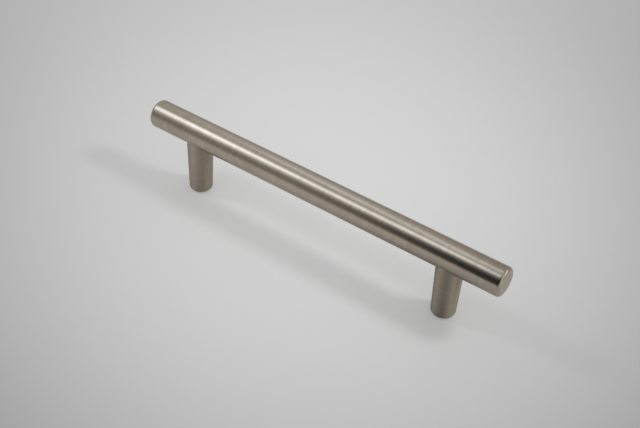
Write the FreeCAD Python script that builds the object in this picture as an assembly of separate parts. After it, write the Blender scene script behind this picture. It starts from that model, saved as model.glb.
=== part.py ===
import FreeCAD, Part
import math
import os

# A bridge pull handle for a drawer or a cupboard door, standing on its two feet.
# A solid round bar bridges two turned posts. The top of each post is seated in a
# round flat-bottomed pocket in the bar's underside, and a headless set screw, used
# as a stud, holds it there: the screw is fixed in the bar, and the post is screwed
# onto it until it seats. The foot of each post is tapped for the machine screw
# that comes through the door.
#
# Frame: X runs along the bar, +Z points from the door to the bar, and the origin
# is on the door's face, midway between the two posts. All sizes are millimetres.

# The bar
bar_diameter = 12.7
bar_length = 176.0
bar_end_radius = 1.5

# Where the handle fixes, and how far it stands off the door
hole_spacing = 128.0
projection = 36.5

# The posts: how far inside the bar's side each one stays, and how far it tapers
post_inset = 0.55
post_draft = 0.6
foot_edge_radius = 1.8

# The pocket of each post in the bar, and how far its wall stands at its lowest
pocket_clearance = 0.02
pocket_wall = 0.3

# The hole in each foot, M4, drawn plain at its tapping drill size
foot_hole_diameter = 3.3
foot_hole_chamfer = 0.4

# The set screw of each joint, M5, drawn plain at the same size as its tapped hole
stud_hole_diameter = 4.2
stud_clearance = 0.02
stud_length = 12.0
stud_chamfer = 0.5
stud_socket_width = 2.5
stud_socket_depth = 3.0

# The blind holes: past the screw's ends, and the metal left around their tips
drill_point_angle = 118.0
stud_hole_run_out = 0.5
bar_cover = 1.8
post_web = 4.0

# How far a cutter starts outside the piece that it cuts
cutter_reach = 1.0

# The bar's and the posts' sizes that follow
bar_radius = bar_diameter / 2
axis_height = projection - bar_radius
underside_height = projection - bar_diameter
post_top_radius = bar_radius - post_inset
post_foot_radius = post_top_radius - post_draft
post_places = {"left": -hole_spacing / 2, "right": hole_spacing / 2}

# The pocket's rim closes where its circle leaves the bar's side, below the seat
pocket_radius = post_top_radius + pocket_clearance
rim_height = axis_height - math.sqrt(bar_radius**2 - pocket_radius**2)
seat_height = rim_height + pocket_wall


def drill_point(radius):
    """The length of the cone that a drill leaves at the end of a blind hole."""
    return radius / math.tan(math.radians(drill_point_angle / 2))


# Heights down through each joint, from the top of the bar to the hole in the foot
foot_hole_radius = foot_hole_diameter / 2
stud_hole_radius = stud_hole_diameter / 2
stud_hole_top = projection - bar_cover - drill_point(stud_hole_radius)
stud_top = stud_hole_top - stud_hole_run_out
stud_bottom = stud_top - stud_length
stud_hole_bottom = stud_bottom - stud_hole_run_out
foot_hole_tip = stud_hole_bottom - drill_point(stud_hole_radius) - post_web
foot_hole_top = foot_hole_tip - drill_point(foot_hole_radius)

UP = FreeCAD.Vector(0, 0, 1)
ALONG = FreeCAD.Vector(1, 0, 0)


def upright(radius, bottom, top, x):
    """A cylinder about the vertical line through x, between two heights."""
    return Part.makeCylinder(radius, top - bottom, FreeCAD.Vector(x, 0, bottom), UP)


def upright_cone(bottom_radius, top_radius, bottom, top, x):
    """A cone about the vertical line through x, between two heights."""
    place = FreeCAD.Vector(x, 0, bottom)
    return Part.makeCone(bottom_radius, top_radius, top - bottom, place, UP)


def round_edges(solid, height=None):
    """The circular edges of a solid, or only those that lie flat at a height."""
    edges = [edge for edge in solid.Edges if isinstance(edge.Curve, Part.Circle)]
    if height is None:
        return edges
    return [edge for edge in edges if abs(edge.BoundBox.ZMin - height) + edge.BoundBox.ZLength < 1e-3]


def make_bar():
    """The round bar with rounded ends, and over each post a pocket and a blind hole."""
    start = FreeCAD.Vector(-bar_length / 2, 0, axis_height)
    bar = Part.makeCylinder(bar_radius, bar_length, start, ALONG)
    bar = bar.makeFillet(min(bar_end_radius, 0.9 * bar_radius), round_edges(bar))
    for x in post_places.values():
        bar = bar.cut(upright(pocket_radius, underside_height - cutter_reach, seat_height, x))
        bar = bar.cut(upright(stud_hole_radius, seat_height - cutter_reach, stud_hole_top, x))
        tip = stud_hole_top + drill_point(stud_hole_radius)
        bar = bar.cut(upright_cone(stud_hole_radius, 0, stud_hole_top, tip, x))
    return bar


def make_post(x):
    """A turned post: rounded foot, tapered side and a straight top, tapped at both ends."""
    post = upright_cone(post_foot_radius, post_top_radius, 0, underside_height, x)
    foot_wall = post_foot_radius - foot_hole_radius - foot_hole_chamfer
    post = post.makeFillet(min(foot_edge_radius, 0.9 * foot_wall), round_edges(post, 0))
    post = post.fuse(upright(post_top_radius, underside_height, seat_height, x)).removeSplitter()
    return post.cut(foot_hole(x)).cut(top_hole(x))


def foot_hole(x):
    """The cutter of the blind hole in a foot, with its chamfered mouth and drill point."""
    mouth_radius = foot_hole_radius + foot_hole_chamfer
    shaft = upright(foot_hole_radius, -cutter_reach, foot_hole_top, x)
    mouth = upright_cone(mouth_radius, foot_hole_radius, 0, foot_hole_chamfer, x)
    tip = upright_cone(foot_hole_radius, 0, foot_hole_top, foot_hole_tip, x)
    return shaft.fuse([mouth, tip])


def top_hole(x):
    """The cutter of the blind hole in a post's top, with its drill point."""
    tip_bottom = stud_hole_bottom - drill_point(stud_hole_radius)
    shaft = upright(stud_hole_radius, stud_hole_bottom, seat_height + cutter_reach, x)
    return shaft.fuse(upright_cone(0, stud_hole_radius, tip_bottom, stud_hole_bottom, x))


def make_stud(x):
    """A headless set screw with chamfered ends and the key's socket in its lower end."""
    radius = stud_hole_radius - stud_clearance
    end_radius = radius - stud_chamfer
    shank_bottom = stud_bottom + stud_chamfer
    shank_top = stud_top - stud_chamfer
    stud = upright(radius, shank_bottom, shank_top, x)
    lower = upright_cone(end_radius, radius, stud_bottom, shank_bottom, x)
    upper = upright_cone(radius, end_radius, shank_top, stud_top, x)
    return stud.fuse([lower, upper]).removeSplitter().cut(socket(x))


def socket(x):
    """The cutter of the hexagonal socket, from just below the screw's lower end."""
    corner_radius = stud_socket_width / 2 / math.cos(math.radians(30))
    floor = stud_bottom - cutter_reach
    corners = []
    for turn in range(0, 420, 60):
        angle = math.radians(turn)
        along = x + corner_radius * math.cos(angle)
        corners.append(FreeCAD.Vector(along, corner_radius * math.sin(angle), floor))
    outline = Part.Face(Part.makePolygon(corners))
    return outline.extrude(UP * (cutter_reach + stud_socket_depth))


def make_pieces():
    """Every piece of the handle under its own name."""
    pieces = {"bar": make_bar()}
    for side, x in post_places.items():
        pieces[side + "_post"] = make_post(x)
        pieces[side + "_stud"] = make_stud(x)
    return pieces


os.makedirs("parts", exist_ok=True)
for name, solid in make_pieces().items():
    solid.exportStep("parts/" + name + ".step")
    print(name, len(solid.Solids), "solid,", round(solid.Volume, 1), "mm3, valid", solid.isValid())
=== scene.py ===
"""Looks of a bridge pull handle in satin nickel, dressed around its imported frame.

A solid round bar bridges two turned posts, and a headless set screw sits inside each
joint. Lengths are in millimetres throughout, and become metres where a mesh, a lamp or
the camera is made. Each surface is a grid of points worked out from two parameters, with
a normal at each point, and its UV map "brush" runs along the profile and then round it,
so that the finish knows which way the brush went.
"""

import logging
import math
from collections.abc import Iterable
from dataclasses import dataclass
from dataclasses import field
from enum import Enum

import bpy
import numpy as np
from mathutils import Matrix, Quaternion
from mathutils import Vector


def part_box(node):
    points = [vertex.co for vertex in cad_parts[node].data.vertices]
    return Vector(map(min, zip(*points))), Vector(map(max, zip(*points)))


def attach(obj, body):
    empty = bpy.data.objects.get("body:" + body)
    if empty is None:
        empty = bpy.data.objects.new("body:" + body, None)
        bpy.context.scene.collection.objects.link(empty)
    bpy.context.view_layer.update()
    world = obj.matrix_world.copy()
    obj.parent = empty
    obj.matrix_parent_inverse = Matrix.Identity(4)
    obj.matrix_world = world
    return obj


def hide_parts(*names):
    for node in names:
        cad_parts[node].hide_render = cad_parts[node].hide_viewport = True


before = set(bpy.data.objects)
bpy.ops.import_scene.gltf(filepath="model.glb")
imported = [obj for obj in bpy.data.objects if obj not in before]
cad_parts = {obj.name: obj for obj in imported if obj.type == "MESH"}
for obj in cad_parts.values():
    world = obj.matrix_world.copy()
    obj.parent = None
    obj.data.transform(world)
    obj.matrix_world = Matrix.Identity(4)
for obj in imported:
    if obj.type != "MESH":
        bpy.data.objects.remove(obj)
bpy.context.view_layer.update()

LOG = logging.getLogger("bridge_pull")
METRE = 1000.0
UV_NAME = "brush"
FULL_TURN = 2 * math.pi
BAR_TOP = math.pi / 2
BAR_UNDERSIDE = 1.5 * math.pi
CONE_STEPS = 4

# The radius and the height of a stretch of profile: a number, a value for each row, or rows by columns.
Stretch = tuple[np.ndarray | float, np.ndarray | float]


def linear(hex_colour: str) -> tuple[float, float, float, float]:
    """Turns an sRGB colour into the linear one that a shader takes.

    Args:
        hex_colour: Six hexadecimal digits, two each for red, green and blue.

    Returns:
        Linear red, green and blue, and an alpha of 1.
    """
    channels = []
    for start in (0, 2, 4):
        value = int(hex_colour[start:start + 2], 16) / 255
        channels.append(value / 12.92 if value <= 0.04045 else ((value + 0.055) / 1.055) ** 2.4)
    return (*channels, 1.0)


class Lie(Enum):
    """Which way the axis of a turned surface points."""

    UPRIGHT = "up, away from the door"
    ALONG = "along the bar, to its right end"


@dataclass
class Patch:
    """One smooth stretch of a surface, as a grid of points, rows along and columns round.

    Its finish is the number of the material that it takes from its piece.
    """

    points: np.ndarray
    normals: np.ndarray
    uv: np.ndarray
    finish: int = 0

    def quads(self) -> np.ndarray:
        """Works out the four-sided faces, wound to agree with the normals.

        Returns:
            A row for each face, with the numbers of its four points.
        """
        rows, columns = self.points.shape[:2]
        index = np.arange(rows * columns).reshape(rows, columns)
        ring = [index[:-1, :-1], index[:-1, 1:], index[1:, 1:], index[1:, :-1]]
        quads = np.stack(ring, axis=2).reshape(-1, 4)
        corners = self.points.reshape(-1, 3)[quads]
        facing = np.cross(corners[:, 2] - corners[:, 0], corners[:, 3] - corners[:, 1])
        agree = (facing * self.normals.reshape(-1, 3)[quads].sum(axis=1)).sum()
        return quads if agree > 0 else quads[:, ::-1]


def smooth_normals(points: np.ndarray, closed: bool) -> np.ndarray:
    """Works out a grid's unit normals, the step round crossed with the step along.

    Args:
        points: The grid, rows by columns by three.
        closed: Whether the last column repeats the first.

    Returns:
        A normal for each point. A row that is drawn in to a pole takes its neighbour's.
    """
    tiny_share = 1e-6
    along = np.gradient(points, axis=0, edge_order=2 if len(points) > 2 else 1)
    around = np.gradient(points, axis=1, edge_order=2)
    if closed:
        around[:, 0] = points[:, 1] - points[:, -2]
        around[:, -1] = around[:, 0]
    normals = np.cross(around, along)
    lengths = np.linalg.norm(normals, axis=2, keepdims=True)
    tiny = lengths.max() * tiny_share
    normals = normals / np.maximum(lengths, tiny)
    for pole, neighbour in ((0, 1), (-1, -2)):
        if lengths[pole].max() < tiny:
            normals[pole] = normals[neighbour]
    return normals


def turned(
    stretches: Iterable[Stretch],
    angles: np.ndarray,
    foot: tuple[float, float, float],
    lie: Lie = Lie.UPRIGHT,
    run: float = 0.0,
) -> list[Patch]:
    """Carries a profile round an axis: each point is the axis point at a height, plus the radius turned.

    A profile is followed with the metal on its left, which makes every normal point outwards.
    The UV map holds the length of profile, and the angle times the stretch's largest radius.

    Args:
        stretches: The profile's stretches in order.
        angles: The angle of each column, in radians.
        foot: The point on the axis where height is zero.
        lie: Which way the axis points.
        run: Where the UV map starts along the profile. It goes on from stretch to stretch.

    Returns:
        A patch for each stretch.
    """
    smallest_girth_radius = 1.0
    closed = bool(np.isclose(angles[-1] - angles[0], FULL_TURN))
    patches = []
    for stretch in stretches:
        radius, height = (part[:, None] if np.ndim(part) == 1 else part for part in stretch)
        radius, height, turn = np.broadcast_arrays(radius, height, angles)
        across = [radius * np.cos(turn), radius * np.sin(turn), height]
        if lie is Lie.ALONG:
            across = [across[2], across[0], across[1]]
        points = np.stack(across, axis=2) + np.array(foot)
        mean_radius = radius.mean(axis=1)
        steps = np.hypot(np.diff(mean_radius), np.diff(height.mean(axis=1)))
        length = run + np.concatenate([[0.0], np.cumsum(steps)])
        girth = turn * max(mean_radius.max(), smallest_girth_radius)
        uv = np.stack(np.broadcast_arrays(length[:, None], girth), axis=2)
        patches.append(Patch(points, smooth_normals(points, closed), uv))
        run = float(length[-1])
    return patches


def blend(start: np.ndarray | float, end: np.ndarray | float, steps: int) -> np.ndarray:
    """Rows that go straight from one curve to another, as the start plus even shares of the way."""
    return start + (end - start) * np.linspace(0.0, 1.0, steps + 1)[:, None]


def line(start: tuple[float, float], end: tuple[float, float], steps: int) -> Stretch:
    """A straight stretch of profile, as evenly spaced radii and heights between two points."""
    return blend(start[0], end[0], steps), blend(start[1], end[1], steps)


def arc(centre: tuple[float, float], radius: float, degrees: tuple[float, float], steps: int) -> Stretch:
    """A round stretch of profile, as the centre plus a radius swept between two angles in degrees."""
    sweep = np.radians(np.linspace(degrees[0], degrees[1], steps + 1))
    return centre[0] + radius * np.cos(sweep), centre[1] + radius * np.sin(sweep)


@dataclass(frozen=True)
class Thread:
    """A metric thread, given by its pitch and by how deep it is cut."""

    pitch: float
    depth: float
    rows_per_turn: int = 10

    def ridge(self, height: np.ndarray, angles: np.ndarray) -> np.ndarray:
        """How far the 60 degree tooth stands, from 0 to 1, at each height and angle.

        The tooth is a trapezium: flat over an eighth of the pitch at its crest and a quarter at
        its root. The phase rises with height and falls with angle, which is a right-hand helix.

        Args:
            height: Heights of the rows along the thread's axis.
            angles: Angles of the columns, in radians.

        Returns:
            The share of the depth, rows by columns.
        """
        phase = height[:, None] / self.pitch - angles[None, :] / FULL_TURN
        from_crest = np.abs(phase - np.round(phase))
        half_crest = 1 / 16
        flank = 5 / 16
        return np.clip((half_crest + flank - from_crest) / flank, 0.0, 1.0)

    def rows(self, start: float, end: float) -> np.ndarray:
        """Heights from start to end, close enough together to draw the tooth."""
        turns = abs(end - start) / self.pitch
        return np.linspace(start, end, max(2, math.ceil(turns * self.rows_per_turn)) + 1)


M4 = Thread(pitch=0.7, depth=0.37)
M5 = Thread(pitch=0.8, depth=0.4)


def tapped(
    radius: float, thread: Thread, height: np.ndarray, angles: np.ndarray, fade: tuple[float, float]
) -> np.ndarray:
    """The wall of a tapped hole: its drilled radius, plus the tooth where the tap has cut.

    A hole that opens downwards is given with its heights and angles negated, which turns the
    helix over and keeps its hand.

    Args:
        radius: The drilled radius.
        thread: The thread that the tap cuts.
        height: Heights of the rows.
        angles: Angles of the columns, in radians.
        fade: The height where the tap's taper ends the thread, and the one where it starts to.

    Returns:
        The radius at each row and column.
    """
    share = np.clip((height - fade[0]) / (fade[1] - fade[0]), 0.0, 1.0)
    return radius + thread.depth * share[:, None] * thread.ridge(height, angles)


def to_mesh(name: str, patches: list[Patch]) -> bpy.types.Object:
    """Welds patches into one closed mesh, with their normals and UV map on its corners.

    Points that lie on each other become one vertex, and a four-sided face that has lost a
    corner to a pole becomes a triangle.

    Args:
        name: The piece's name.
        patches: The stretches of its surface, in millimetres.

    Returns:
        The new object, at the origin and in metres.
    """
    weld_steps_per_mm = 1e5
    points = np.concatenate([patch.points.reshape(-1, 3) for patch in patches])
    normals = np.concatenate([patch.normals.reshape(-1, 3) for patch in patches])
    uv = np.concatenate([patch.uv.reshape(-1, 2) for patch in patches])
    start = 0
    corners = []
    finish = []
    for patch in patches:
        quads = patch.quads()
        corners.append(start + quads)
        finish.append(np.full(len(quads), patch.finish, dtype=np.int32))
        start += patch.points.size // 3
    corners = np.concatenate(corners)
    finish = np.concatenate(finish)
    keys = np.round(points * weld_steps_per_mm).astype(np.int64)
    _, first, vertex = np.unique(keys, axis=0, return_index=True, return_inverse=True)
    welded = vertex.reshape(-1)[corners]
    keep = welded != np.roll(welded, 1, axis=1)
    whole = keep.sum(axis=1) >= 3
    keep, corners, welded, finish = keep[whole], corners[whole], welded[whole], finish[whole]
    sides = keep.sum(axis=1)
    mesh = bpy.data.meshes.new(name)
    mesh.vertices.add(len(first))
    mesh.vertices.foreach_set("co", (points[first] / METRE).astype(np.float32).ravel())
    mesh.loops.add(int(sides.sum()))
    mesh.loops.foreach_set("vertex_index", welded[keep].astype(np.int32))
    mesh.polygons.add(len(sides))
    mesh.polygons.foreach_set("loop_start", np.concatenate([[0], np.cumsum(sides)[:-1]]).astype(np.int32))
    mesh.polygons.foreach_set("material_index", finish)
    mesh.update(calc_edges=True)
    layer = mesh.uv_layers.new(name=UV_NAME)
    layer.uv.foreach_set("vector", uv[corners[keep]].astype(np.float32).ravel())
    mesh.shade_smooth()
    mesh.normals_split_custom_set(normals[corners[keep]])
    if mesh.validate():
        LOG.warning("%s held a face that Blender had to mend", name)
    piece = bpy.data.objects.new(name, mesh)
    bpy.context.scene.collection.objects.link(piece)
    return piece


def add_node(
    tree: bpy.types.NodeTree, kind: str, inputs: dict | None = None, **settings: object
) -> bpy.types.Node:
    """Adds a node with its settings and its inputs.

    Args:
        tree: The node tree that takes it.
        kind: Blender's name of the node type.
        inputs: For each input's name or number, a value or the output that feeds it.
        **settings: The node's own properties.

    Returns:
        The new node.
    """
    node = tree.nodes.new(kind)
    for name, value in settings.items():
        setattr(node, name, value)
    for name, value in (inputs or {}).items():
        if isinstance(value, bpy.types.NodeSocket):
            tree.links.new(value, node.inputs[name])
        else:
            node.inputs[name].default_value = value
    return node


def bell(
    tree: bpy.types.NodeTree, offset: bpy.types.NodeSocket, steepness: float = 1.0
) -> bpy.types.NodeSocket:
    """Adds a bell curve: e to the power of minus the steepness times an offset's squared length.

    Args:
        tree: The node tree that takes its nodes.
        offset: The output that gives the way from the curve's middle, as a vector.
        steepness: How fast the curve falls.

    Returns:
        The output that gives the curve, which is 1 in its middle.
    """
    square = add_node(tree, "ShaderNodeVectorMath", {0: offset, 1: offset}, operation="DOT_PRODUCT")
    fall = add_node(tree, "ShaderNodeMath", {
        0: square.outputs["Value"], 1: -steepness,
    }, operation="MULTIPLY")
    return add_node(tree, "ShaderNodeMath", {0: fall.outputs[0]}, operation="EXPONENT").outputs[0]


def new_material(name: str) -> tuple[bpy.types.Material, bpy.types.NodeTree]:
    """Makes a material without nodes.

    Args:
        name: What the real material is.

    Returns:
        The material and its node tree.
    """
    material = bpy.data.materials.new(name)
    material.use_nodes = True
    material.node_tree.nodes.clear()
    return material, material.node_tree


@dataclass(frozen=True)
class BrushedNickel:
    """Satin nickel: nickel plate over steel, brushed round and round with a fine abrasive belt.

    The brush leaves fine grooves round the piece. They spread each reflection along the
    profile and leave it narrow round the piece, so lamps and dark places draw out into long
    soft bands. Each scratch is short, and throws a little more or less light than the next,
    so the bands look combed across. Nickel itself is a warm grey.
    """

    name: str
    colour: str = "B3A899"
    roughness: float = 0.285
    anisotropic: float = 0.602
    widest_scratch: float = 3.0
    longest_scratch: float = 9.0
    octaves: float = 4.5
    octave_share: float = 0.8
    noise_span: tuple[float, float] = (0.25, 0.75)
    tone_spread: float = 0.15
    gloss_spread: float = 0.015
    scratch_depth: float = 0.015

    def make(self) -> bpy.types.Material:
        """Builds the material.

        The pattern is noise in four dimensions: its fourth, the length along the profile,
        changes fast, and its place in space changes slowly, so each scratch is narrow along
        the profile and long round the piece. On the bar its octaves run from bunches 3 mm
        wide down to scratches 0.2 mm wide. The real ones are about 0.05 mm wide, and are
        drawn coarser because they would not show.

        Returns:
            The material, whose scratches tint, dull and tilt the metal.
        """
        material, tree = new_material(self.name)
        along = add_node(tree, "ShaderNodeSeparateXYZ", {
            "Vector": add_node(tree, "ShaderNodeUVMap", uv_map=UV_NAME).outputs["UV"],
        })
        count = add_node(tree, "ShaderNodeMath", {
            0: along.outputs["X"], 1: 1 / self.widest_scratch,
        }, operation="MULTIPLY")
        place = add_node(tree, "ShaderNodeVectorMath", {
            0: add_node(tree, "ShaderNodeTexCoord").outputs["Object"],
            "Scale": METRE / self.longest_scratch,
        }, operation="SCALE")
        scratch = add_node(tree, "ShaderNodeTexNoise", {
            "Vector": place.outputs["Vector"], "W": count.outputs[0], "Scale": 1.0,
            "Detail": self.octaves, "Roughness": self.octave_share,
        }, noise_dimensions="4D").outputs["Fac"]
        span = {"Value": scratch, "From Min": self.noise_span[0], "From Max": self.noise_span[1]}
        tone = add_node(tree, "ShaderNodeMapRange", {
            **span, "To Min": 1 - self.tone_spread, "To Max": 1 + self.tone_spread,
        })
        gloss = add_node(tree, "ShaderNodeMapRange", {
            **span,
            "To Min": self.roughness + self.gloss_spread, "To Max": self.roughness - self.gloss_spread,
        })
        colour = add_node(tree, "ShaderNodeVectorMath", {
            0: linear(self.colour)[:3], "Scale": tone.outputs["Result"],
        }, operation="SCALE")
        tilt = add_node(tree, "ShaderNodeBump", {
            "Height": scratch, "Strength": 1.0, "Distance": self.scratch_depth / METRE,
        })
        tangent = add_node(tree, "ShaderNodeTangent", direction_type="UV_MAP", uv_map=UV_NAME)
        shader = add_node(tree, "ShaderNodeBsdfPrincipled", {
            "Base Color": colour.outputs["Vector"], "Metallic": 1.0, "Roughness": gloss.outputs["Result"],
            "Anisotropic": self.anisotropic, "Tangent": tangent.outputs["Tangent"],
            "Normal": tilt.outputs["Normal"],
        })
        add_node(tree, "ShaderNodeOutputMaterial", {"Surface": shader.outputs["BSDF"]})
        return material


@dataclass(frozen=True)
class ZincPlate:
    """Zinc plated steel of a bought set screw: cold grey, a little cloudy, with plain gloss."""

    name: str = "zinc plated screw steel"
    colour: str = "B9BBBE"
    roughness: float = 0.36
    gloss_spread: float = 0.08
    cloud_size: float = 1.5
    octaves: float = 2.0

    def make(self) -> bpy.types.Material:
        """Builds the material.

        Returns:
            The material, whose roughness drifts a little over each cloud of plating.
        """
        material, tree = new_material(self.name)
        place = add_node(tree, "ShaderNodeTexCoord").outputs["Object"]
        cloud = add_node(tree, "ShaderNodeTexNoise", {
            "Vector": place, "Scale": METRE / self.cloud_size, "Detail": self.octaves,
        })
        rough = add_node(tree, "ShaderNodeMapRange", {
            "Value": cloud.outputs["Fac"],
            "To Min": self.roughness - self.gloss_spread, "To Max": self.roughness + self.gloss_spread,
        })
        shader = add_node(tree, "ShaderNodeBsdfPrincipled", {
            "Base Color": linear(self.colour), "Metallic": 1.0, "Roughness": rough.outputs["Result"],
        })
        add_node(tree, "ShaderNodeOutputMaterial", {"Surface": shader.outputs["BSDF"]})
        return material


@dataclass
class Joint:
    """The heights and radii of one post's joint with the bar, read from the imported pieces."""

    side: str
    x: float
    seat: float
    post_radius: float
    screw_bottom: float
    screw_top: float
    screw_radius: float
    pocket_clearance: float = 0.02
    screw_clearance: float = 0.02
    run_out: float = 0.5
    half_point: float = math.radians(59.0)

    @classmethod
    def read(cls, side: str) -> "Joint":
        """Reads one side's joint from the boxes of its post and its set screw.

        Args:
            side: The side's name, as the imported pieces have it.

        Returns:
            The joint.
        """
        post_low, post_high = [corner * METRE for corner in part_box(f"{side}_post")]
        screw_low, screw_high = [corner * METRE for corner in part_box(f"{side}_stud")]
        return cls(
            side=side,
            x=(post_low.x + post_high.x) / 2,
            seat=post_high.z,
            post_radius=(post_high.x - post_low.x) / 2,
            screw_bottom=screw_low.z,
            screw_top=screw_high.z,
            screw_radius=(screw_high.x - screw_low.x) / 2,
        )

    @property
    def hole_radius(self) -> float:
        """The drilled radius of the holes that take the set screw."""
        return self.screw_radius + self.screw_clearance

    @property
    def pocket_radius(self) -> float:
        """The radius of the bar's pocket, in which the post's top sits."""
        return self.post_radius + self.pocket_clearance

    def point(self, radius: float) -> float:
        """The length of the cone that a drill leaves at the end of a hole of that radius."""
        return radius / math.tan(self.half_point)


@dataclass
class Bar:
    """The solid round bar, with rounded ends, and a pocket and a tapped hole over each post.

    Its outside is a grid in the length along the bar and the angle round it, which starts at
    the top. Under each post a window of that grid is left out, and its border is joined to
    the pocket's rim instead.
    """

    joints: list[Joint]
    finish: bpy.types.Material
    end_finish: bpy.types.Material
    end_radius: float = 1.5
    columns: int = 192
    face_steps: int = 12
    rounding_steps: int = 14
    side_steps: int = 14
    window_half_length: float = 8.0
    window_half_columns: int = 52
    window_steps: int = 12
    rim_steps: int = 16
    wall_steps: int = 6
    seat_steps: int = 4
    low: Vector = field(default_factory=lambda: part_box("bar")[0] * METRE)
    high: Vector = field(default_factory=lambda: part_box("bar")[1] * METRE)

    @property
    def radius(self) -> float:
        """Half the bar's thickness."""
        return (self.high.z - self.low.z) / 2

    @property
    def axis(self) -> float:
        """The height of the bar's axis."""
        return (self.high.z + self.low.z) / 2

    @property
    def window_columns(self) -> tuple[int, int]:
        """The first and the last column of each window, as far from the underside's column."""
        middle = self.columns // 2
        return middle - self.window_half_columns, middle + self.window_half_columns

    def angles(self) -> np.ndarray:
        """The angles of the columns, from the top all the way round to the top again."""
        return BAR_TOP + np.linspace(0.0, FULL_TURN, self.columns + 1)

    def window_places(self, joint: Joint) -> np.ndarray:
        """The places along the bar of the points in a joint's window."""
        half = self.window_half_length
        return np.linspace(joint.x - half, joint.x + half, self.window_steps + 1)

    def place(self, x: np.ndarray, angle: np.ndarray) -> Patch:
        """Puts a grid on the bar's side: x along, and the radius turned by the angle round the axis.

        Args:
            x: The place along the bar of each point.
            angle: The angle round the bar of each point.

        Returns:
            The grid, with the axis's own direction to each point as its normal.
        """
        normals = np.stack([np.zeros_like(x), np.cos(angle), np.sin(angle)], axis=2)
        points = normals * self.radius
        points[..., 0] = x
        points[..., 2] += self.axis
        uv = np.stack([x, angle * self.radius], axis=2)
        return Patch(points, normals, uv)

    def end(self, left: bool) -> list[Patch]:
        """One end of the bar. Its brush pattern starts a bar's length before the side's own.

        Args:
            left: Whether it is the left end.

        Returns:
            The flat face and the rounding that leads to the side.
        """
        flat = self.radius - self.end_radius
        profile = [
            line((0.0, 0.0), (flat, 0.0), self.face_steps),
            arc((flat, self.end_radius), self.end_radius, (-90.0, 0.0), self.rounding_steps),
        ]
        if left:
            stretches = [(radius, self.low.x + depth) for radius, depth in profile]
        else:
            stretches = [(radius[::-1], self.high.x - depth[::-1]) for radius, depth in profile]
        run = -(self.high.x - self.low.x)
        face, rounding = turned(stretches, self.angles(), (0.0, 0.0, self.axis), Lie.ALONG, run)
        face.finish = 1
        return [face, rounding]

    def side(self) -> list[Patch]:
        """The bar's side between its roundings.

        Returns:
            Strips along the side, with a window under each post.
        """
        angles = self.angles()
        first, last = self.window_columns
        patches = []
        place = self.low.x + self.end_radius
        for joint in sorted(self.joints, key=lambda joint: joint.x):
            x = self.window_places(joint)
            patches.append(self.strip(np.linspace(place, x[0], self.side_steps + 1), angles))
            patches.append(self.strip(x, angles[:first + 1]))
            patches.append(self.strip(x, angles[last:]))
            patches.append(self.window(joint))
            place = x[-1]
        stop = self.high.x - self.end_radius
        patches.append(self.strip(np.linspace(place, stop, self.side_steps + 1), angles))
        return patches

    def strip(self, x: np.ndarray, angles: np.ndarray) -> Patch:
        """A plain stretch of the side, over the places along it and the angles given."""
        return self.place(*np.meshgrid(x, angles, indexing="ij"))

    def border(self, joint: Joint) -> tuple[np.ndarray, np.ndarray]:
        """The border of a joint's window, once round from its near corner and back to it.

        Args:
            joint: The joint over the post.

        Returns:
            The place along the bar and the angle round it of each point.
        """
        first, last = self.window_columns
        angles = self.angles()[first:last + 1]
        x = self.window_places(joint)
        far_end = np.full(len(angles) - 1, x[-1])
        near_end = np.full(len(angles), x[0])
        lowest = angles[:1].repeat(len(x) - 1)
        highest = angles[-1:].repeat(len(x) - 1)
        places = np.concatenate([x[:-1], far_end, x[:0:-1], near_end])
        return places, np.concatenate([lowest, angles[:-1], highest, angles[::-1]])

    def rim_turns(self, joint: Joint) -> np.ndarray:
        """The pocket's own angle that each point of the border looks towards.

        Args:
            joint: The joint whose pocket it is.

        Returns:
            The angles, which rise all the way round.
        """
        x, angle = self.border(joint)
        reach = math.asin(joint.pocket_radius / self.radius)
        across = (angle - BAR_UNDERSIDE) / reach
        along = (x - joint.x) / joint.pocket_radius
        return np.unwrap(np.arctan2(across, along))

    def window(self, joint: Joint) -> Patch:
        """Joins the border of a window in the side to the rim of the pocket in it.

        The rim is where the pocket's cylinder leaves the bar: along the bar it goes as the
        cosine of its own angle, and round the bar by the arcsine of the sine times the ratio
        of the two radii. Rows go straight from border to rim on the unrolled surface.

        Args:
            joint: The joint whose pocket it is.

        Returns:
            The grid, with a row for each step from border to rim and a column round the rim.
        """
        turn = self.rim_turns(joint)
        rim_x = joint.x + joint.pocket_radius * np.cos(turn)
        rim_angle = BAR_UNDERSIDE + np.arcsin(np.sin(turn) * joint.pocket_radius / self.radius)
        x, angle = self.border(joint)
        return self.place(blend(x, rim_x, self.rim_steps), blend(angle, rim_angle, self.rim_steps))

    def pocket(self, joint: Joint) -> list[Patch]:
        """The hollow over a post: drill point, tapped wall, flat seat and the wall down to the rim.

        Args:
            joint: The joint whose pocket it is.

        Returns:
            The stretches of the hollow, from the drill point down.
        """
        turn = self.rim_turns(joint)
        hole_top = joint.screw_top + joint.run_out
        rows = M5.rows(hole_top, joint.seat)
        hole = tapped(joint.hole_radius, M5, -rows, -turn, (-hole_top, -joint.screw_top))
        rim_height = self.axis - np.sqrt(self.radius ** 2 - (joint.pocket_radius * np.sin(turn)) ** 2)
        tip = hole_top + joint.point(joint.hole_radius)
        stretches = [
            line((0.0, tip), (joint.hole_radius, hole_top), CONE_STEPS),
            (hole, rows),
            (blend(hole[-1], joint.pocket_radius, self.seat_steps), joint.seat),
            (joint.pocket_radius, blend(joint.seat, rim_height, self.wall_steps)),
        ]
        return turned(stretches, turn, (joint.x, 0.0, 0.0))

    def build(self) -> bpy.types.Object:
        """Makes the bar's mesh and dresses it.

        Returns:
            The bar.
        """
        patches = [*self.end(left=True), *self.side(), *self.end(left=False)]
        for joint in self.joints:
            patches += self.pocket(joint)
        piece = to_mesh("bar_brushed", patches)
        piece.data.materials.append(self.finish)
        piece.data.materials.append(self.end_finish)
        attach(piece, "root")
        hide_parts("bar")
        return piece


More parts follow.
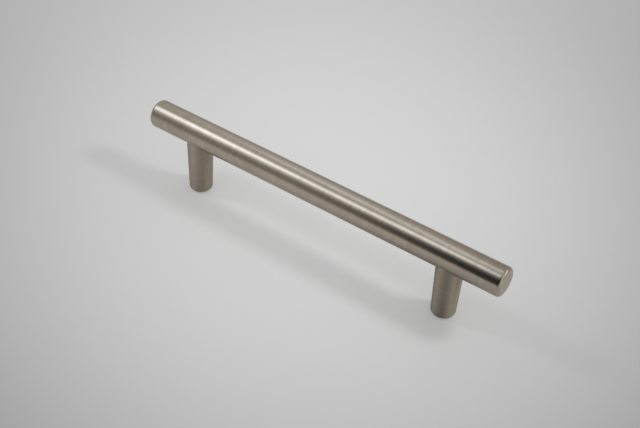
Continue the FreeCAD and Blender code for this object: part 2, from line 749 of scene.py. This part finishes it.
@dataclass
class Post:
    """A turned post: a rounded foot, a tapering side, a straight top, and a tapped hole at each end."""

    joint: Joint
    underside: float
    finish: bpy.types.Material
    draft: float = 0.6
    foot_edge_radius: float = 1.8
    foot_hole_radius: float = 1.65
    foot_hole_chamfer: float = 0.4
    web: float = 4.0
    thread_end_gap: float = 2.5
    tap_taper: float = 1.0
    columns: int = 144
    foot_steps: int = 4
    rounding_steps: int = 20
    taper_steps: int = 24
    straight_steps: int = 6
    top_steps: int = 4
    mouth_steps: int = 2

    def foot_hole(self, angles: np.ndarray) -> list[Stretch]:
        """The hole in the foot, from its drill point down.

        Args:
            angles: Angles of the columns, in radians.

        Returns:
            The cone, and the tapped wall with its chamfered mouth.
        """
        joint = self.joint
        web_top = joint.screw_bottom - joint.run_out - joint.point(joint.hole_radius)
        tip = web_top - self.web
        top = tip - joint.point(self.foot_hole_radius)
        rows = M4.rows(top, 0.0)
        full_thread = self.thread_end_gap - top
        fade = (full_thread - self.tap_taper, full_thread)
        wall = tapped(self.foot_hole_radius, M4, -rows, -angles, fade)
        mouth = self.foot_hole_radius + self.foot_hole_chamfer - rows
        return [
            line((0.0, tip), (self.foot_hole_radius, top), CONE_STEPS),
            (np.maximum(wall, mouth[:, None]), rows),
        ]

    def outside(self) -> list[Stretch]:
        """The outside, whose rounded foot meets the flat and the tapering side without a corner.

        Returns:
            The stretches from the hole's mouth out over the foot, up the side and in over the top.
        """
        joint = self.joint
        top_radius = joint.post_radius
        edge = self.foot_edge_radius
        slope = self.draft / self.underside
        lean = math.degrees(math.atan2(self.draft, self.underside))
        centre = top_radius - self.draft - edge * (math.sqrt(1 + slope ** 2) - slope)
        mouth = self.foot_hole_radius + self.foot_hole_chamfer
        rounding = arc((centre, edge), edge, (-90.0, -lean), self.rounding_steps)
        side_start = (rounding[0][-1], rounding[1][-1])
        top_rim = (top_radius, joint.seat)
        return [
            line((mouth, 0.0), (centre, 0.0), self.foot_steps),
            rounding,
            line(side_start, (top_radius, self.underside), self.taper_steps),
            line((top_radius, self.underside), top_rim, self.straight_steps),
            line(top_rim, (joint.hole_radius + M5.depth, joint.seat), self.top_steps),
        ]

    def top_hole(self, angles: np.ndarray) -> list[Stretch]:
        """The hole in the top, from its mouth down.

        Args:
            angles: Angles of the columns, in radians.

        Returns:
            The ring round the thread's mouth, the tapped wall and the drill point.
        """
        joint = self.joint
        bottom = joint.screw_bottom - joint.run_out
        rows = M5.rows(joint.seat, bottom)
        wall = tapped(joint.hole_radius, M5, rows, angles, (bottom, joint.screw_bottom))
        return [
            (blend(joint.hole_radius + M5.depth, wall[0], self.mouth_steps), joint.seat),
            (wall, rows),
            line((joint.hole_radius, bottom), (0.0, bottom - joint.point(joint.hole_radius)), CONE_STEPS),
        ]

    def build(self) -> bpy.types.Object:
        """Makes the post's mesh and dresses it.

        Returns:
            The post.
        """
        angles = np.linspace(0.0, FULL_TURN, self.columns + 1)
        stretches = [*self.foot_hole(angles), *self.outside(), *self.top_hole(angles)]
        patches = turned(stretches, angles, (self.joint.x, 0.0, 0.0))
        piece = to_mesh(f"{self.joint.side}_post_brushed", patches)
        piece.data.materials.append(self.finish)
        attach(piece, "root")
        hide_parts(f"{self.joint.side}_post")
        return piece


@dataclass
class SetScrew:
    """A headless screw with a full thread, chamfered ends and a hexagonal socket in its lower end."""

    joint: Joint
    finish: bpy.types.Material
    play: float = 0.03
    chamfer: float = 0.9
    socket_width: float = 2.5
    socket_depth: float = 3.0
    columns: int = 96
    flat_steps: int = 3
    socket_steps: int = 4

    def build(self) -> bpy.types.Object:
        """Makes the screw's mesh and dresses it.

        The side is the tapped hole's wall less the play, held inside a 45 degree cone at each
        end. The socket's radius is half its width over the cosine of the angle from the middle
        of the nearest flat.

        Returns:
            The screw.
        """
        joint = self.joint
        angles = np.linspace(0.0, FULL_TURN, self.columns + 1)
        bottom, top = joint.screw_bottom, joint.screw_top
        rows = M5.rows(bottom, top)
        outer = joint.hole_radius - self.play + M5.depth
        side = joint.hole_radius - self.play + M5.depth * M5.ridge(rows, angles)
        from_end = np.minimum(rows - bottom, top - rows)
        side = np.minimum(side, (outer - self.chamfer + from_end)[:, None])
        sixth = np.radians(60.0)
        hexagon = self.socket_width / 2 / np.cos(np.mod(angles, sixth) - sixth / 2)
        socket_top = bottom + self.socket_depth
        stretches = [
            (blend(0.0, hexagon, self.flat_steps), socket_top),
            (hexagon[None, :], np.linspace(socket_top, bottom, self.socket_steps + 1)),
            (blend(hexagon, side[0], self.flat_steps), bottom),
            (side, rows),
            (blend(0.0, side[-1], self.flat_steps)[::-1], top),
        ]
        piece = to_mesh(f"{joint.side}_set_screw", turned(stretches, angles, (joint.x, 0.0, 0.0)))
        piece.data.materials.append(self.finish)
        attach(piece, "root")
        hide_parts(f"{joint.side}_stud")
        return piece


def towards(bearing: tuple[float, float]) -> Vector:
    """The unit vector of a bearing: an angle from +X towards +Y, and one above the floor, in degrees."""
    turn, rise = (math.radians(angle) for angle in bearing)
    return Vector((math.cos(turn) * math.cos(rise), math.sin(turn) * math.cos(rise), math.sin(rise)))


@dataclass(frozen=True)
class LightStrip:
    """A soft strip of light on the tent, from one bearing to another.

    Its level goes evenly from the first end to the last, and falls off as a bell curve with
    the distance from the strip. The width is that curve's, as a share of the tent's radius.
    """

    start: tuple[float, float]
    end: tuple[float, float]
    width: float
    levels: tuple[float, float]
    tint: str

    def glow(self, tree: bpy.types.NodeTree, place: bpy.types.NodeSocket) -> bpy.types.NodeSocket:
        """Adds the nodes of its light.

        The nearest point of the strip is its start plus a share of its length, and that share is
        the place from the start, dotted with the length over its square, held in 0 to 1.

        Args:
            tree: The node tree of the tent's cloth.
            place: The output that gives the place on a tent of radius 1.

        Returns:
            The output that gives the strip's light.
        """
        start = towards(self.start)
        length = towards(self.end) - start
        from_start = add_node(tree, "ShaderNodeVectorMath", {0: place, 1: start}, operation="SUBTRACT")
        along = add_node(tree, "ShaderNodeVectorMath", {
            0: from_start.outputs["Vector"], 1: length / length.length_squared,
        }, operation="DOT_PRODUCT")
        share = add_node(tree, "ShaderNodeClamp", {"Value": along.outputs["Value"]})
        nearest = add_node(tree, "ShaderNodeVectorMath", {
            0: length, "Scale": share.outputs["Result"],
        }, operation="SCALE")
        aside = add_node(tree, "ShaderNodeVectorMath", {
            0: from_start.outputs["Vector"], 1: nearest.outputs["Vector"],
        }, operation="SUBTRACT")
        level = add_node(tree, "ShaderNodeMapRange", {
            "Value": share.outputs["Result"], "To Min": self.levels[0], "To Max": self.levels[1],
        })
        strength = add_node(tree, "ShaderNodeMath", {
            0: bell(tree, aside.outputs["Vector"], 0.5 / self.width ** 2), 1: level.outputs["Result"],
        }, operation="MULTIPLY")
        light = add_node(tree, "ShaderNodeVectorMath", {
            0: linear(self.tint)[:3], "Scale": strength.outputs[0],
        }, operation="SCALE")
        return light.outputs["Vector"]


@dataclass
class Tent:
    """The light tent that the metal mirrors: a dome of pale cloth, open in front, with strips of light.

    Only reflections meet it. The camera looks through it, and the paper takes its light from
    the room and the lamps. The strips are, in order, the one at the left and the front that
    draws the line along the bar, a softer one below it, one behind, one that stands at the
    right, a short one at the right and behind, and a round patch overhead.
    """

    radius: float = 240.0
    cloth: float = 0.327
    cloth_tint: str = "FFFAF3"
    bright_side: tuple[float, float] = (131.0, 50.0)
    bright_level: float = 0.569
    bright_power: float = 7.12
    bright_tint: str = "F1F5FF"
    front: tuple[float, float] = (291.0, 30.4)
    front_edge: tuple[float, float] = (31.0, 34.4)
    rim_width: float = 0.0885
    rim_level: float = 0.342
    rim_tint: str = "E7F0FF"
    strips: tuple[LightStrip, ...] = (
        LightStrip((196.2, 44.4), (277.9, 71.7), 0.106, (3.0, 2.0), "E7F2FF"),
        LightStrip((209.4, 41.6), (271.8, 56.8), 0.143, (0.685, 0.194), "E7F2FF"),
        LightStrip((132.0, 55.6), (54.1, 77.3), 0.0806, (0.55, 1.3), "E7F2FF"),
        LightStrip((350.0, 0.0), (353.0, 42.0), 0.12, (0.68, 0.68), "FFFAF0"),
        LightStrip((15.0, 24.0), (33.0, 32.0), 0.09, (2.0, 2.0), "FFFAF0"),
        LightStrip((0.0, 90.0), (0.0, 89.0), 0.0864, (0.7, 0.7), "E9EBFF"),
    )
    rings: int = 24
    columns: int = 96

    def cloth_light(self, tree: bpy.types.NodeTree, place: bpy.types.NodeSocket) -> bpy.types.NodeSocket:
        """Adds the cloth's own light: one even level, brighter to one side, and dark in the open front.

        Args:
            tree: The node tree of the cloth.
            place: The output that gives the place on a tent of radius 1.

        Returns:
            The output that gives the light.
        """
        to_side = add_node(tree, "ShaderNodeVectorMath", {
            0: place, 1: towards(self.bright_side),
        }, operation="DOT_PRODUCT")
        facing = add_node(tree, "ShaderNodeMath", {0: to_side.outputs["Value"], 1: 0.0}, operation="MAXIMUM")
        bright = add_node(tree, "ShaderNodeMath", {
            0: facing.outputs[0], 1: self.bright_power,
        }, operation="POWER")
        side = add_node(tree, "ShaderNodeVectorMath", {
            0: Vector(linear(self.bright_tint)[:3]) * self.bright_level, "Scale": bright.outputs[0],
        }, operation="SCALE")
        wall = add_node(tree, "ShaderNodeVectorMath", {
            0: side.outputs["Vector"], 1: Vector(linear(self.cloth_tint)[:3]) * self.cloth,
        }, operation="ADD")
        to_front = add_node(tree, "ShaderNodeVectorMath", {
            0: place, 1: towards(self.front),
        }, operation="DOT_PRODUCT")
        inner, outer = (math.cos(math.radians(angle)) for angle in self.front_edge)
        closed = add_node(tree, "ShaderNodeMapRange", {
            "Value": to_front.outputs["Value"],
            "From Min": outer, "From Max": inner, "To Min": 1.0, "To Max": 0.0,
        }, interpolation_type="SMOOTHSTEP")
        light = add_node(tree, "ShaderNodeVectorMath", {
            0: wall.outputs["Vector"], "Scale": closed.outputs["Result"],
        }, operation="SCALE")
        return light.outputs["Vector"]

    def rim_light(self, tree: bpy.types.NodeTree, place: bpy.types.NodeSocket) -> bpy.types.NodeSocket:
        """Adds the pale rim low round the tent, which falls off as a bell curve with the height.

        Args:
            tree: The node tree of the cloth.
            place: The output that gives the place on a tent of radius 1.

        Returns:
            The output that gives the rim's light.
        """
        height = add_node(tree, "ShaderNodeVectorMath", {
            0: place, 1: (0.0, 0.0, 1.0),
        }, operation="MULTIPLY")
        light = add_node(tree, "ShaderNodeVectorMath", {
            0: Vector(linear(self.rim_tint)[:3]) * self.rim_level,
            "Scale": bell(tree, height.outputs["Vector"], 0.5 / self.rim_width ** 2),
        }, operation="SCALE")
        return light.outputs["Vector"]

    def cloth_material(self) -> bpy.types.Material:
        """Builds the cloth.

        Returns:
            The material, which glows with the cloth's own light, the rim's and the strips' together.
        """
        material, tree = new_material("light tent cloth")
        place = add_node(tree, "ShaderNodeVectorMath", {
            0: add_node(tree, "ShaderNodeTexCoord").outputs["Object"], "Scale": METRE / self.radius,
        }, operation="SCALE").outputs["Vector"]
        light = self.cloth_light(tree, place)
        for glow in (self.rim_light(tree, place), *(strip.glow(tree, place) for strip in self.strips)):
            both = add_node(tree, "ShaderNodeVectorMath", {0: light, 1: glow}, operation="ADD")
            light = both.outputs["Vector"]
        shader = add_node(tree, "ShaderNodeEmission", {"Color": light})
        add_node(tree, "ShaderNodeOutputMaterial", {"Surface": shader.outputs["Emission"]})
        return material

    def build(self) -> bpy.types.Object:
        """Makes the dome, with its profile a quarter circle turned about the upright axis.

        Returns:
            The tent.
        """
        profile = arc((0.0, 0.0), self.radius, (0.0, 90.0), self.rings)
        angles = np.linspace(0.0, FULL_TURN, self.columns + 1)
        dome = to_mesh("light_tent", turned([profile], angles, (0.0, 0.0, 0.0)))
        dome.data.materials.append(self.cloth_material())
        dome.visible_camera = False
        dome.visible_diffuse = False
        dome.visible_shadow = False
        return dome


@dataclass
class Lamp:
    """A round soft lamp that faces the handle, and lights the paper alone."""

    name: str
    place: tuple[float, float, float]
    diameter: float
    power: float
    target: tuple[float, float, float] = (0.0, 0.0, 0.0)

    def build(self) -> bpy.types.Object:
        """Makes the lamp and turns it to its target.

        Returns:
            The lamp.
        """
        light = bpy.data.lights.new(self.name, "AREA")
        light.shape = "DISK"
        light.size = self.diameter / METRE
        light.energy = self.power
        lamp = bpy.data.objects.new(self.name, light)
        lamp.location = Vector(self.place) / METRE
        aim = Vector(self.target) - Vector(self.place)
        lamp.rotation_mode = "QUATERNION"
        lamp.rotation_quaternion = aim.to_track_quat("-Z", "Y")
        lamp.visible_glossy = False
        bpy.context.scene.collection.objects.link(lamp)
        return lamp


@dataclass
class Studio:
    """The pale paper that the handle stands on, two soft lamps, and the dim room around them.

    A pool of light is painted into the paper: it is palest in the middle and darkens outwards in ovals that
    reach furthest along the pool's length, and a painted slope, in shares per metre, darkens it further
    towards the front and the right. The camera sees a share of the paper as its own unshaded glow,
    painted light which keeps the shadows faint.

    The metal mirrors a smoother paper with its own painted light and shade: it is palest along one
    line across the handle, darkens to both sides of that line and towards the back, and has one
    painted soft shade beside the right post.
    """

    paper: str = "E5E5E5"
    paper_width: float = 4000.0
    paper_gap: float = 0.02
    paper_roughness: float = 0.9
    paper_specular: float = 0.2
    # Painted light: a pool of light and a slope, painted into the paper's colour, stand in for the lamps'
    # falloff.
    pool_place: tuple[float, float] = (34.0, -51.0)
    pool_turn: float = -54.0
    pool_reach: tuple[float, float] = (293.0, 243.0)
    pool_level: float = 1.143
    slope: tuple[float, float] = (-1.395, 1.935)
    slope_level: float = -0.1
    darkest: float = 0.5
    # Painted light and shade on the paper that only the metal mirrors: a paler, smoother level.
    mirror_level: float = 0.905
    mirror_middle: float = -50.7
    mirror_reach: float = 265.0
    mirror_slope: float = -0.934
    mirror_span: tuple[float, float] = (0.75, 1.25)
    # Painted shade: a soft dark patch on the paper beside the right post, seen only in reflections.
    shade_place: tuple[float, float] = (36.0, 22.0)
    shade_reach: float = 38.0
    shade_depth: float = 0.36
    # Painted light: the share and strength of a glow on the paper that only the camera sees, which lifts its
    # shadows.
    camera_glow_share: float = 0.34
    camera_glow_strength: float = 0.82
    room: float = 0.6
    lamps: list[Lamp] = field(default_factory=lambda: [
        Lamp("left front lamp", (-490.0, -161.5, 494.0), 123.0, 0.62),
        Lamp("right back lamp", (368.6, 174.8, 494.0), 123.0, 1.045),
    ])

    def seen_level(self, tree: bpy.types.NodeTree, place: bpy.types.NodeSocket) -> bpy.types.NodeSocket:
        """Adds the paper's painted level for all but the metal: the painted pool of light plus the slope.

        Args:
            tree: The node tree of the paper.
            place: The output that gives the place on the paper.

        Returns:
            The output that gives the level.
        """
        oval = add_node(tree, "ShaderNodeMapping", {
            "Vector": place,
            "Location": (self.pool_place[0] / METRE, self.pool_place[1] / METRE, 0.0),
            "Rotation": (0.0, 0.0, math.radians(self.pool_turn)),
            "Scale": (self.pool_reach[0] / METRE, self.pool_reach[1] / METRE, 1.0),
        }, vector_type="TEXTURE")
        uphill = add_node(tree, "ShaderNodeVectorMath", {
            0: place, 1: (*self.slope, 0.0),
        }, operation="DOT_PRODUCT")
        slope = add_node(tree, "ShaderNodeMath", {
            0: uphill.outputs["Value"], 1: self.slope_level,
        }, operation="ADD")
        both = add_node(tree, "ShaderNodeMath", {
            0: bell(tree, oval.outputs["Vector"]), 1: self.pool_level, 2: slope.outputs[0],
        }, operation="MULTIPLY_ADD")
        level = add_node(tree, "ShaderNodeClamp", {
            "Value": both.outputs[0], "Min": self.darkest, "Max": 1.0,
        })
        return level.outputs["Result"]

    def mirrored_level(self, tree: bpy.types.NodeTree, place: bpy.types.NodeSocket) -> bpy.types.NodeSocket:
        """Adds the paper's painted level for the metal: a slope, less the square of the way aside and a
        painted shade.

        Args:
            tree: The node tree of the paper.
            place: The output that gives the place on the paper.

        Returns:
            The output that gives the level.
        """
        apart = add_node(tree, "ShaderNodeSeparateXYZ", {"Vector": place})
        aside = add_node(tree, "ShaderNodeMath", {
            0: apart.outputs["X"], 1: METRE / self.mirror_reach, 2: -self.mirror_middle / self.mirror_reach,
        }, operation="MULTIPLY_ADD").outputs[0]
        fall = add_node(tree, "ShaderNodeMath", {0: aside, 1: aside}, operation="MULTIPLY")
        forward = add_node(tree, "ShaderNodeMath", {
            0: apart.outputs["Y"], 1: self.mirror_slope, 2: self.mirror_level,
        }, operation="MULTIPLY_ADD")
        level = add_node(tree, "ShaderNodeMath", {
            0: forward.outputs[0], 1: fall.outputs[0],
        }, operation="SUBTRACT")
        held = add_node(tree, "ShaderNodeClamp", {
            "Value": level.outputs[0], "Min": self.mirror_span[0], "Max": self.mirror_span[1],
        })
        from_shade = add_node(tree, "ShaderNodeMapping", {
            "Vector": place,
            "Location": (self.shade_place[0] / METRE, self.shade_place[1] / METRE, -self.paper_gap / METRE),
            "Scale": (self.shade_reach / METRE,) * 3,
        }, vector_type="TEXTURE")
        shaded = add_node(tree, "ShaderNodeMath", {
            0: bell(tree, from_shade.outputs["Vector"]), 1: -self.shade_depth, 2: held.outputs["Result"],
        }, operation="MULTIPLY_ADD")
        return shaded.outputs[0]

    def paper_material(self) -> bpy.types.Material:
        """Builds the paper.

        Returns:
            The material, which is clear when it is seen from below.
        """
        material, tree = new_material("matt paper")
        place = add_node(tree, "ShaderNodeTexCoord").outputs["Object"]
        rays = add_node(tree, "ShaderNodeLightPath")
        # Reflections see the painted mirrored level, and everything else sees the painted pool of light.
        level = add_node(tree, "ShaderNodeMix", {
            "Factor": rays.outputs["Is Glossy Ray"],
            2: self.seen_level(tree, place), 3: self.mirrored_level(tree, place),
        }, data_type="FLOAT")
        colour = add_node(tree, "ShaderNodeVectorMath", {
            0: linear(self.paper)[:3], "Scale": level.outputs[0],
        }, operation="SCALE").outputs["Vector"]
        lit = add_node(tree, "ShaderNodeBsdfPrincipled", {
            "Base Color": colour, "Roughness": self.paper_roughness,
            "Specular IOR Level": self.paper_specular,
        })
        # Painted light: the camera sees a share of the paper as a glow that no shadow falls on.
        even = add_node(tree, "ShaderNodeEmission", {"Color": colour, "Strength": self.camera_glow_strength})
        share = add_node(tree, "ShaderNodeMath", {
            0: rays.outputs["Is Camera Ray"], 1: self.camera_glow_share,
        }, operation="MULTIPLY")
        front = add_node(tree, "ShaderNodeMixShader", {
            "Fac": share.outputs[0], 1: lit.outputs["BSDF"], 2: even.outputs["Emission"],
        })
        sides = add_node(tree, "ShaderNodeMixShader", {
            "Fac": add_node(tree, "ShaderNodeNewGeometry").outputs["Backfacing"],
            1: front.outputs["Shader"],
            2: add_node(tree, "ShaderNodeBsdfTransparent").outputs["BSDF"],
        })
        add_node(tree, "ShaderNodeOutputMaterial", {"Surface": sides.outputs["Shader"]})
        return material

    def build_paper(self) -> bpy.types.Object:
        """Makes the sheet of paper, flat under the feet.

        Returns:
            The paper.
        """
        half = self.paper_width / 2 / METRE
        low = -self.paper_gap / METRE
        mesh = bpy.data.meshes.new("paper")
        corners = [(-half, -half, low), (half, -half, low), (half, half, low), (-half, half, low)]
        mesh.from_pydata(corners, [], [(0, 1, 2, 3)])
        mesh.materials.append(self.paper_material())
        paper = bpy.data.objects.new("paper", mesh)
        bpy.context.scene.collection.objects.link(paper)
        return paper

    def build_room(self) -> bpy.types.World:
        """Makes the light of the room.

        Returns:
            The world.
        """
        world = bpy.data.worlds.new("room")
        world.use_nodes = True
        tree = world.node_tree
        tree.nodes.clear()
        light = add_node(tree, "ShaderNodeBackground", {
            "Color": (1.0, 1.0, 1.0, 1.0), "Strength": self.room,
        })
        add_node(tree, "ShaderNodeOutputWorld", {"Surface": light.outputs["Background"]})
        bpy.context.scene.world = world
        return world

    def build(self) -> None:
        """Sets up the paper, the room, the tent and the lamps."""
        self.build_paper()
        self.build_room()
        Tent().build()
        for lamp in self.lamps:
            lamp.build()
            LOG.info("lamp %s", lamp.name)


@dataclass
class Camera:
    """The photograph's camera: its place, its turn as an axis times an angle, its lens and its range."""

    place: tuple[float, float, float] = (195.2391, -297.8088, 319.9082)
    turn: tuple[float, float, float] = (0.8529, 0.2228, 0.6019)
    lens: float = 62.379
    sensor: float = 36.0
    nearest: float = 10.0
    furthest: float = 10000.0

    def build(self) -> bpy.types.Object:
        """Makes the camera and gives it to the scene.

        Returns:
            The camera.
        """
        data = bpy.data.cameras.new("camera")
        data.lens = self.lens
        data.sensor_width = self.sensor
        data.clip_start = self.nearest / METRE
        data.clip_end = self.furthest / METRE
        camera = bpy.data.objects.new("camera", data)
        turn = Vector(self.turn)
        camera.location = Vector(self.place) / METRE
        camera.rotation_mode = "QUATERNION"
        camera.rotation_quaternion = Quaternion(turn.normalized(), turn.length)
        bpy.context.scene.collection.objects.link(camera)
        bpy.context.scene.camera = camera
        return camera


def report(piece: bpy.types.Object) -> None:
    """Logs a piece's name and how many triangles it has."""
    triangles = len(piece.data.loops) - 2 * len(piece.data.polygons)
    LOG.info("%s: %d triangles", piece.name, triangles)


def main() -> None:
    """Builds the camera, the handle and the studio in order."""
    logging.basicConfig(level=logging.INFO, format="%(name)s: %(message)s")
    bpy.context.scene.view_settings.view_transform = "Standard"
    Camera().build()
    bar_finish = BrushedNickel("brushed satin nickel of the bar").make()
    end_finish = BrushedNickel("faced satin nickel of the bar ends", anisotropic=0.0).make()
    post_finish = BrushedNickel(
        "turned satin nickel of the posts", roughness=0.4162, anisotropic=0.978,
        widest_scratch=1.2, longest_scratch=14.0, octaves=3.0, tone_spread=0.1,
    ).make()
    screw_finish = ZincPlate().make()
    joints = [Joint.read(side) for side in ("left", "right")]
    bar = Bar(joints, bar_finish, end_finish)
    report(bar.build())
    for joint in joints:
        report(Post(joint, bar.low.z, post_finish).build())
        report(SetScrew(joint, screw_finish).build())
    Studio().build()


if __name__ == "__main__":
    main()
